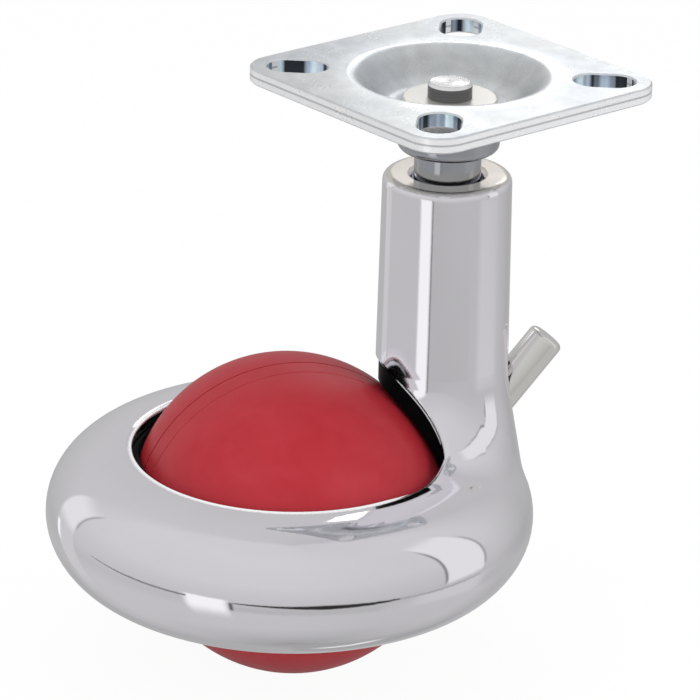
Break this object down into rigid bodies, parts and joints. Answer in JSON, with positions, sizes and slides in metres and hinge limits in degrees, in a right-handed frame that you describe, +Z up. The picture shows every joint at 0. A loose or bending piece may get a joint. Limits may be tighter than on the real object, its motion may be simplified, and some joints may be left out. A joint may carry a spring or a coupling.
{
  "type": "ball castor",
  "caption": "swivel ball castor with a square slotted plate, a chrome plated stem and ring housing, a ball wheel and a lever brake",
  "frame": {"origin": "centre of the mounting plate's top face, on the swivel axis", "axes": "+Z up out of the plate, away from the floor; X and Y along the plate's diagonals, which are the slots' directions; at rest the wheel lies towards minus X, swivelled by twenty degrees"},
  "size_m": [0.0936, 0.0788, 0.0974],
  "materials": {
    "plate_steel": "zinc plated pressed steel, satin, sheared edges",
    "washer_steel": "pale satin plated steel",
    "pin_steel": "turned steel with fine turning lines",
    "spring_steel": "blackened spring steel",
    "race_steel": "ground hardened steel",
    "cup_steel": "pressed steel, zinc plated",
    "ball_steel": "polished bearing steel",
    "collar_steel": "turned steel, zinc plated",
    "bush_bronze": "sintered bronze",
    "housing_chrome": "bright chrome plated casting",
    "liner_plastic": "gloss black moulded plastic",
    "screw_steel": "black plated steel",
    "axle_steel": "ground steel",
    "keeper_plastic": "dark moulded plastic",
    "core_plastic": "pale moulded nylon",
    "band_plastic": "satin red plastic",
    "dome_plastic": "satin red plastic",
    "washer_plastic": "pale nylon",
    "lever_nickel": "satin nickel plated steel",
    "pad_rubber": "moulded rubber"
  },
  "bodies": {
    "plate": {"mounting_plate": "plate_steel", "pin_washer": "washer_steel", "swivel_pin": "pin_steel", "pin_clip": "spring_steel", "upper_race": "race_steel", "bearing_cup": "cup_steel", "bearing_balls": "ball_steel"},
    "housing": {"housing": "housing_chrome", "swivel_collar": "collar_steel", "lower_bush": "bush_bronze", "liner": "liner_plastic", "liner_screws": "screw_steel", "axle": "axle_steel", "axle_keepers": "keeper_plastic", "lever_pin": "axle_steel"},
    "wheel": {"wheel_core": "core_plastic", "tread_band": "band_plastic", "near_dome": "dome_plastic", "far_dome": "dome_plastic", "hub_bushes": "bush_bronze", "thrust_washers": "washer_plastic"},
    "brake_lever": {"brake_lever": "lever_nickel", "brake_pad": "pad_rubber"}
  },
  "joints": [
    {"name": "swivel", "type": "hinge", "parent": "plate", "child": "housing", "pos_m": [0, 0, -0.02], "axis": [0, 0, 1], "continuous": true},
    {"name": "wheel_spin", "type": "hinge", "parent": "housing", "child": "wheel", "pos_m": [-0.02321, -0.00845, -0.0724], "axis": [-0.342, 0.9397, 0], "continuous": true},
    {"name": "brake_press", "type": "hinge", "parent": "housing", "child": "brake_lever", "pos_m": [0.00599, 0.00218, -0.05939], "axis": [-0.342, 0.9397, 0], "range_deg": [0, 30]}
  ]
}
